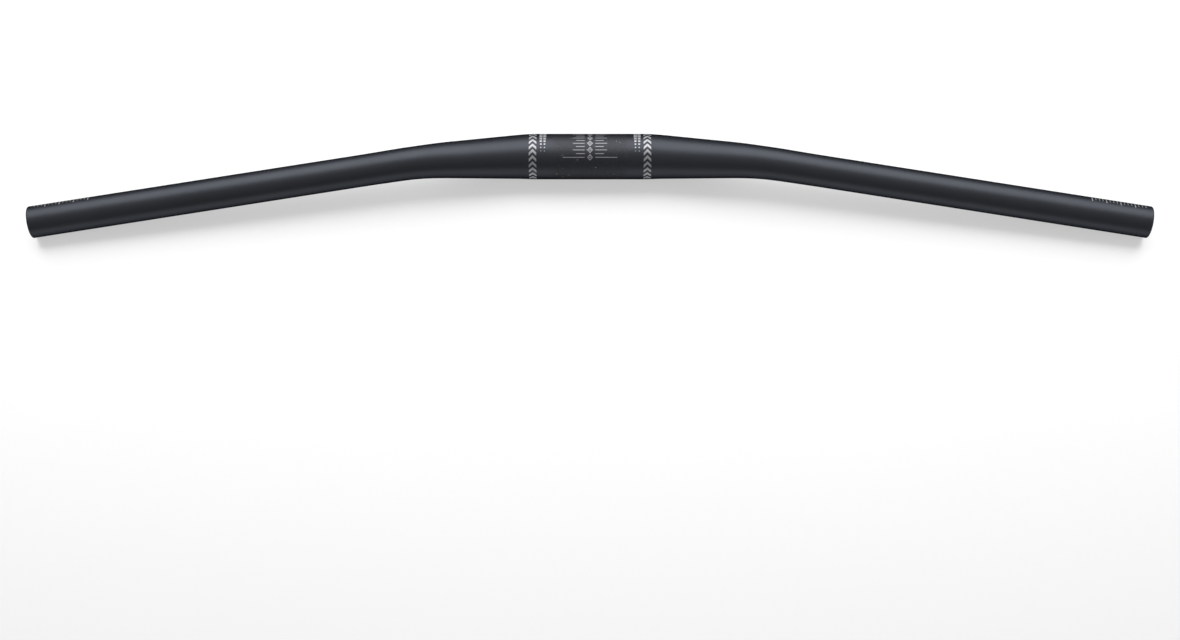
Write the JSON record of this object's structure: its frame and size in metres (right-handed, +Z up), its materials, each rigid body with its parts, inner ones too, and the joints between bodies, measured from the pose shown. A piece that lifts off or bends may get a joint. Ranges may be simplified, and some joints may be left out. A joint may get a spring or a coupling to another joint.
{
  "type": "riser handlebar",
  "caption": "Low-rise bicycle handlebar: a bent, tapered hollow tube, thick in the middle for the stem clamp and slim at its swept-back ends for grips.",
  "frame": {"origin": "middle of the stem clamp zone, on the tube's axis", "axes": "+X along the clamp axis to the rider's right, +Z up with the bar lying on its clamp and its two ends, -Y the way the ends point. Turned back by 42.98 degrees about X, from +Z towards +Y, the bar is as ridden, with +Y forward and +Z up."},
  "size_m": [0.7798, 0.0745, 0.0342],
  "materials": {
    "satin_black": "satin black, with a fine grit on the clamp zone, printed clamp lines and trim marks"
  },
  "bodies": {
    "root": {"handlebar": "satin_black"}
  },
  "joints": []
}
